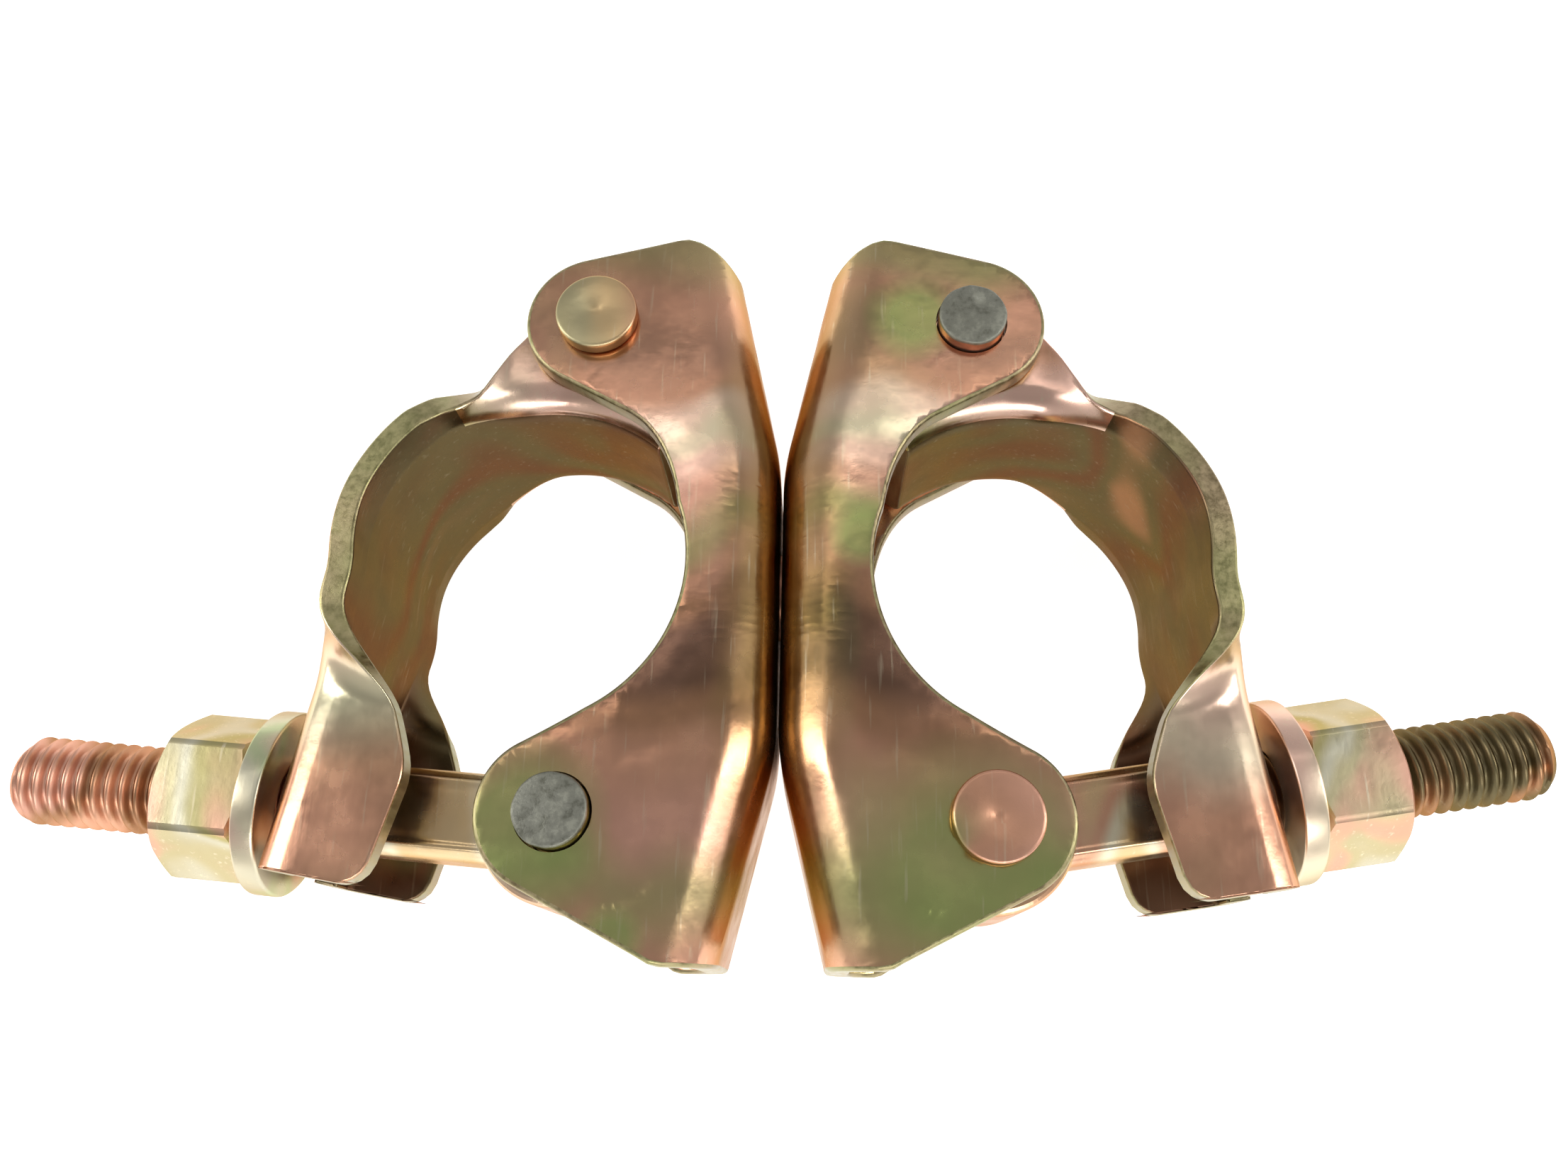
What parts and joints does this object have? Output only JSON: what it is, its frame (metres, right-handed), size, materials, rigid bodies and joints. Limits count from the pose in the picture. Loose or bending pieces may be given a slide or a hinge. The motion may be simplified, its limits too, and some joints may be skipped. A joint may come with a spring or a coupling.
{
  "type": "scaffold swivel coupler",
  "caption": "Pressed-steel swivel coupler: two riveted half clamps with hinged caps, swing bolts and nuts, joining two scaffold tubes at any angle.",
  "frame": {"origin": "centre of the bounding box's underside, with the coupler lying on its side and the seam between the halves at X = 0", "axes": "+X across the two tubes through the swivel rivet, +Y towards the hinge rivets, +Z along both tubes"},
  "size_m": [0.2195, 0.1064, 0.0416],
  "materials": {
    "body": "yellow-passivated zinc plating",
    "cap": "yellow-passivated zinc plating",
    "rivet": "zinc plated, peened end bare",
    "bolt": "yellow-passivated zinc plating",
    "washer": "yellow-passivated zinc plating",
    "nut": "yellow-passivated zinc plating"
  },
  "bodies": {
    "half_a": {"body_a": "body", "hinge_rivet_a": "rivet", "bolt_rivet_a": "rivet", "swivel_rivet": "rivet", "swivel_washer_a": "washer", "swivel_washer_b": "washer"},
    "half_b": {"body_b": "body", "hinge_rivet_b": "rivet", "bolt_rivet_b": "rivet"},
    "cap_a": {"cap_a": "cap"},
    "cap_b": {"cap_b": "cap"},
    "bolt_a": {"swing_bolt_a": "bolt"},
    "bolt_b": {"swing_bolt_b": "bolt"},
    "washer_a": {"washer_a": "washer"},
    "washer_b": {"washer_b": "washer"},
    "nut_a": {"nut_a": "nut"},
    "nut_b": {"nut_b": "nut"}
  },
  "joints": [
    {"name": "swivel", "type": "hinge", "parent": "half_a", "child": "half_b", "pos_m": [0, 0.0012, 0.02082], "axis": [1, 0, 0], "continuous": true},
    {"name": "cap_hinge_a", "type": "hinge", "parent": "half_a", "child": "cap_a", "pos_m": [-0.0277, 0.0388, 0.02082], "axis": [0, 0, -1], "range_deg": [0, 14.6]},
    {"name": "bolt_swing_a", "type": "hinge", "parent": "half_a", "child": "bolt_a", "pos_m": [-0.0288, -0.0342, 0.02082], "axis": [0, 0, 1], "range_deg": [0, 100]},
    {"name": "nut_travel_a", "type": "slide", "parent": "bolt_a", "child": "washer_a", "axis": [-0.9972, 0.075, 0], "range_m": [0, 0.0225]},
    {"name": "nut_spin_a", "type": "hinge", "parent": "washer_a", "child": "nut_a", "pos_m": [-0.07866, -0.03045, 0.02082], "axis": [-0.9972, 0.075, 0], "range_deg": [0, 3780]},
    {"name": "cap_hinge_b", "type": "hinge", "parent": "half_b", "child": "cap_b", "pos_m": [0.0277, 0.0388, 0.02082], "axis": [0, 0, 1], "range_deg": [0, 14.6]},
    {"name": "bolt_swing_b", "type": "hinge", "parent": "half_b", "child": "bolt_b", "pos_m": [0.0288, -0.0342, 0.02082], "axis": [0, 0, -1], "range_deg": [0, 100]},
    {"name": "nut_travel_b", "type": "slide", "parent": "bolt_b", "child": "washer_b", "axis": [0.9866, 0.1633, 0], "range_m": [0, 0.0225]},
    {"name": "nut_spin_b", "type": "hinge", "parent": "washer_b", "child": "nut_b", "pos_m": [0.07813, -0.02603, 0.02082], "axis": [0.9866, 0.1633, 0], "range_deg": [0, 3780]}
  ],
  "couplings": [
    {"joint": "nut_travel_a", "follows": "nut_spin_a", "m_per_rad": 0.00033688},
    {"joint": "cap_hinge_a", "follows": "nut_spin_a", "ratio": 0.003763},
    {"joint": "nut_travel_b", "follows": "nut_spin_b", "m_per_rad": 0.00033688},
    {"joint": "cap_hinge_b", "follows": "nut_spin_b", "ratio": 0.003763}
  ]
}
